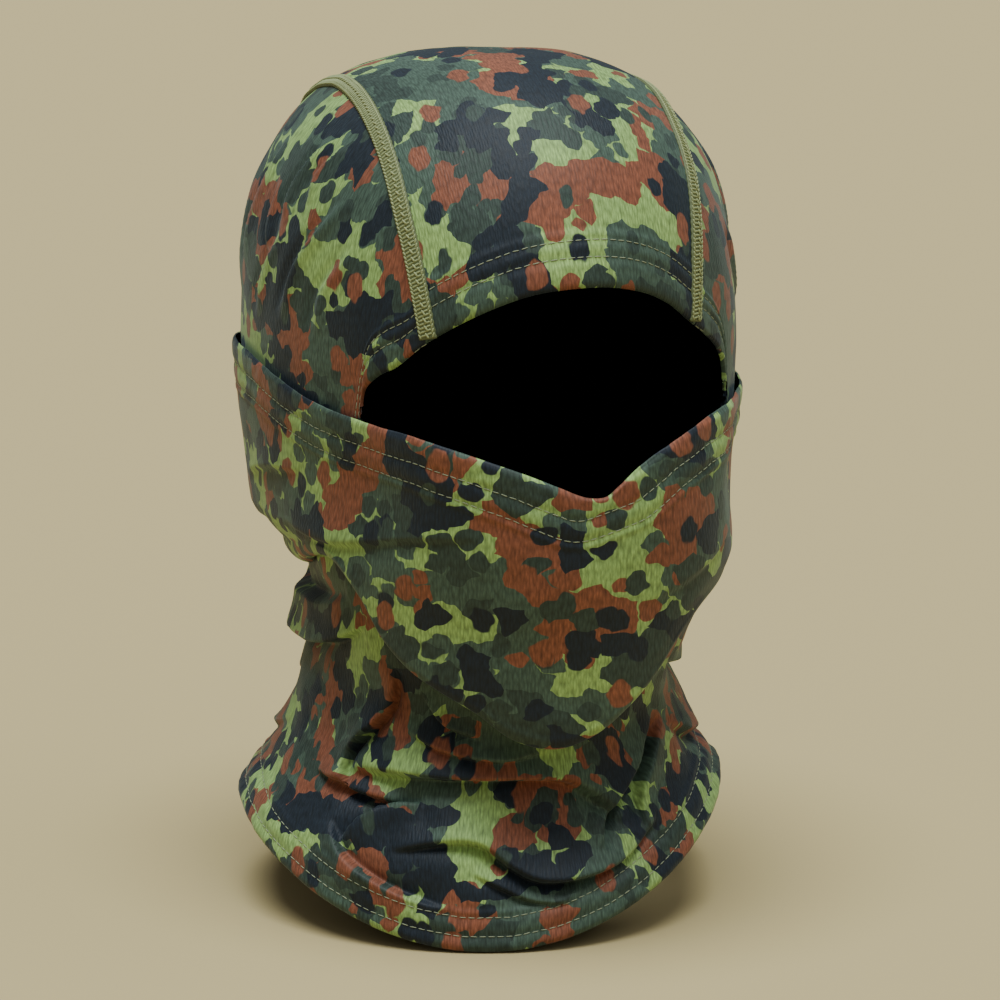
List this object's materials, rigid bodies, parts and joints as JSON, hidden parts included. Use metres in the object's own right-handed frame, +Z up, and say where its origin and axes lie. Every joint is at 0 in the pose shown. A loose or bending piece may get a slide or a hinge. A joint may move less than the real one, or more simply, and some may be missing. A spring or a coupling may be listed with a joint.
{
  "type": "balaclava",
  "caption": "Close-fitting full-head hood with an open face, a pull-down half mask with a V-shaped edge and a flared neck tube, held in the shape of a worn head.",
  "frame": {"origin": "centre of the neck at the height of the lowest point of the bottom hem, the head mount", "axes": "+Z up through the crown, the face looks along -Y, the wearer's left is +X"},
  "size_m": [0.1689, 0.2178, 0.28],
  "materials": {
    "camouflage_jersey": "matt knitted polyester jersey with a printed spotted woodland camouflage",
    "cloth_inside": "unlit inside face of the same jersey",
    "seam_thread": "dense olive flatlock stitching",
    "hem_thread": "pale olive sewing thread"
  },
  "bodies": {
    "hood_and_neck": {"crown_centre_panel": "camouflage_jersey", "crown_right_panel": "camouflage_jersey", "crown_left_panel": "camouflage_jersey", "crown_right_flatlock_seam": "seam_thread", "crown_left_flatlock_seam": "seam_thread", "face_opening_hem": "camouflage_jersey", "face_opening_inner_stitch": "hem_thread", "face_opening_outer_stitch": "hem_thread", "gaiter_back_panel": "camouflage_jersey", "gaiter_top_hem": "camouflage_jersey", "gaiter_upper_stitch": "hem_thread", "gaiter_lower_stitch": "hem_thread", "neck_tube": "camouflage_jersey", "neck_hem": "camouflage_jersey", "neck_upper_stitch": "hem_thread", "neck_lower_stitch": "hem_thread", "hood_join_seam": "seam_thread"},
    "mask": {"mask_front_panel": "camouflage_jersey", "mask_top_hem": "camouflage_jersey", "mask_upper_stitch": "hem_thread", "mask_lower_stitch": "hem_thread"}
  },
  "joints": [
    {"name": "mask_pull_down", "type": "slide", "parent": "hood_and_neck", "child": "mask", "axis": [0, 0, -1], "range_m": [0, 0.05]}
  ]
}
